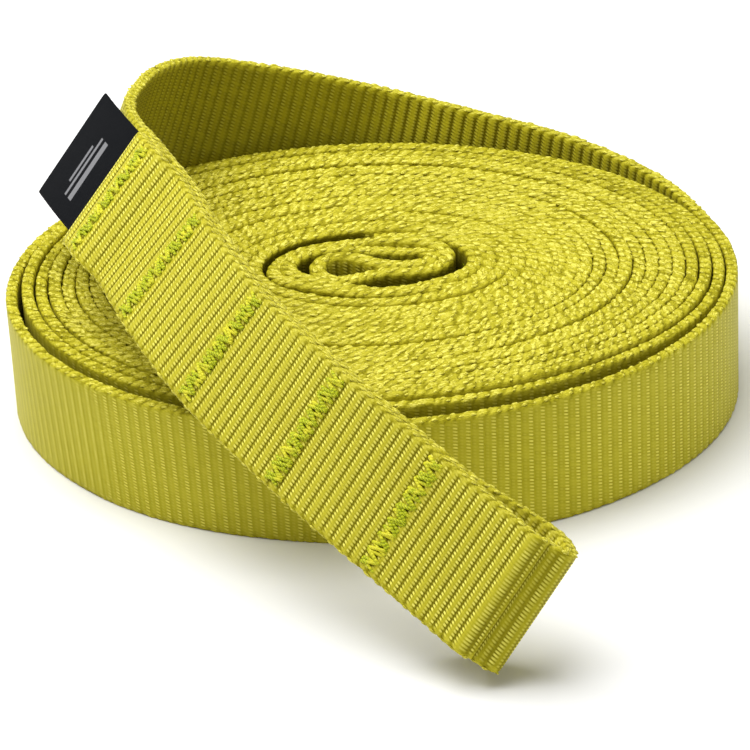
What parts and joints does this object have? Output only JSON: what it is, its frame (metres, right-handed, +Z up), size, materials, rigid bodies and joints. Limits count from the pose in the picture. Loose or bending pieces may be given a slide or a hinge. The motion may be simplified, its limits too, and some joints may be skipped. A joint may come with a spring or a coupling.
{
  "type": "flat web sling",
  "caption": "Coiled flat web sling of woven lifting webbing with a sewn eye at each end, bar tacked laps and a small label at the hem.",
  "frame": {"origin": "under the middle of the whole coiled sling, on the plane it lies on", "axes": "+Z up out of the coil, along the webbing's width; -Y towards the outer eye; +X to the right seen from the outer eye"},
  "size_m": [0.1382, 0.1868, 0.0598],
  "materials": {
    "webbing": "matt woven",
    "thread": "satin thread",
    "label_ribbon": "matt ribbon"
  },
  "bodies": {
    "coil": {"coil_webbing": "webbing", "inner_sewn_end": "webbing", "back_run_webbing": "webbing", "inner_bar_tack_1_needle_thread": "thread", "inner_bar_tack_1_bobbin_thread": "thread", "inner_bar_tack_2_needle_thread": "thread", "inner_bar_tack_2_bobbin_thread": "thread", "inner_bar_tack_3_needle_thread": "thread", "inner_bar_tack_3_bobbin_thread": "thread", "inner_bar_tack_4_needle_thread": "thread", "inner_bar_tack_4_bobbin_thread": "thread", "inner_bar_tack_5_needle_thread": "thread", "inner_bar_tack_5_bobbin_thread": "thread"},
    "free_end": {"sewn_end_lower_layer": "webbing", "sewn_end_upper_layer": "webbing", "bar_tack_1_needle_thread": "thread", "bar_tack_1_bobbin_thread": "thread", "bar_tack_2_needle_thread": "thread", "bar_tack_2_bobbin_thread": "thread", "bar_tack_3_needle_thread": "thread", "bar_tack_3_bobbin_thread": "thread", "bar_tack_4_needle_thread": "thread", "bar_tack_4_bobbin_thread": "thread", "bar_tack_5_needle_thread": "thread", "bar_tack_5_bobbin_thread": "thread"},
    "eye": {"eye_webbing": "webbing"},
    "label": {"label": "label_ribbon"}
  },
  "joints": [
    {"name": "free_end_swing", "type": "hinge", "parent": "coil", "child": "free_end", "pos_m": [-0.05034, 0.04759, 0.04215], "axis": [-0.3803, -0.1019, -0.9192], "range_deg": [0, 100]},
    {"name": "eye_flex", "type": "hinge", "parent": "free_end", "child": "eye", "pos_m": [0.00584, -0.07666, 0.02455], "axis": [-0.5668, -0.1478, -0.8105], "range_deg": [0, 70]},
    {"name": "label_flap", "type": "hinge", "parent": "free_end", "child": "label", "pos_m": [-0.04771, 0.01822, 0.04716], "axis": [0.5874, 0.2236, 0.7778], "range_deg": [0, 70]}
  ]
}
